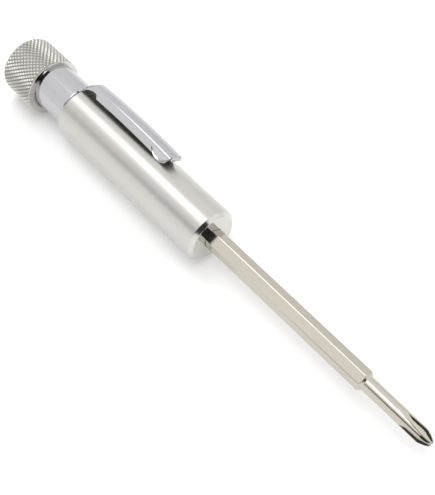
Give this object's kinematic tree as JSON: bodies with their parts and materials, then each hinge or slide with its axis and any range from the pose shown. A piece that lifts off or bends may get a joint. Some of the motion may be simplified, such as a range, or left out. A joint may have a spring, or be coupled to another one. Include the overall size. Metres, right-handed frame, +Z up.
{
  "type": "pocket screwdriver",
  "caption": "Pocket screwdriver: round steel barrel with a sprung clip, knurled screw cap and reversible hexagon blade that turns cross-recess screws, or slotted ones when reversed",
  "frame": {"origin": "under the middle of the tool's length, on the surface that the cap touches", "axes": "X along the tool towards its cross point, Z up, Y to the left of the tool when seen from behind the cap"},
  "size_m": [0.1226, 0.0136, 0.0151],
  "materials": {
    "turned_steel": "fine turned, satin",
    "nickel_steel": "nickel plated, bright satin",
    "spring_wire": "drawn wire",
    "magnet_nickel": "nickel plated",
    "black_screw": "black oxide",
    "clip_chrome": "polished plating on spring steel",
    "washer_steel": "plain",
    "knurled_steel": "diamond knurled, turned ends"
  },
  "bodies": {
    "handle": {"barrel": "turned_steel", "retaining_ring": "spring_wire", "magnet": "magnet_nickel", "stop_screw": "black_screw", "clip_sleeve": "clip_chrome"},
    "bit": {"blade": "nickel_steel"},
    "clip": {"clip_arm": "clip_chrome"},
    "thread": {"cap_washer": "washer_steel"},
    "cap": {"knurled_cap": "knurled_steel"}
  },
  "joints": [
    {"name": "blade_slide", "type": "slide", "parent": "handle", "child": "bit", "axis": [1, 0, 0], "range_m": [0, 0.038]},
    {"name": "clip_flex", "type": "hinge", "parent": "handle", "child": "clip", "pos_m": [-0.04235, 0.00301, 0.01181], "axis": [0, -0.8572, 0.515], "range_deg": [0, 5], "stiffness_Nm_per_rad": 0.6, "springref_deg": -1.15},
    {"name": "cap_advance", "type": "slide", "parent": "handle", "child": "thread", "axis": [-1, 0, 0], "range_m": [0, 0.005]},
    {"name": "cap_turn", "type": "hinge", "parent": "thread", "child": "cap", "pos_m": [-0.0515, 0, 0.0068], "axis": [-1, 0, 0], "range_deg": [0, 1800]}
  ],
  "couplings": [
    {"joint": "cap_advance", "follows": "cap_turn", "m_per_rad": 0.00015915}
  ]
}
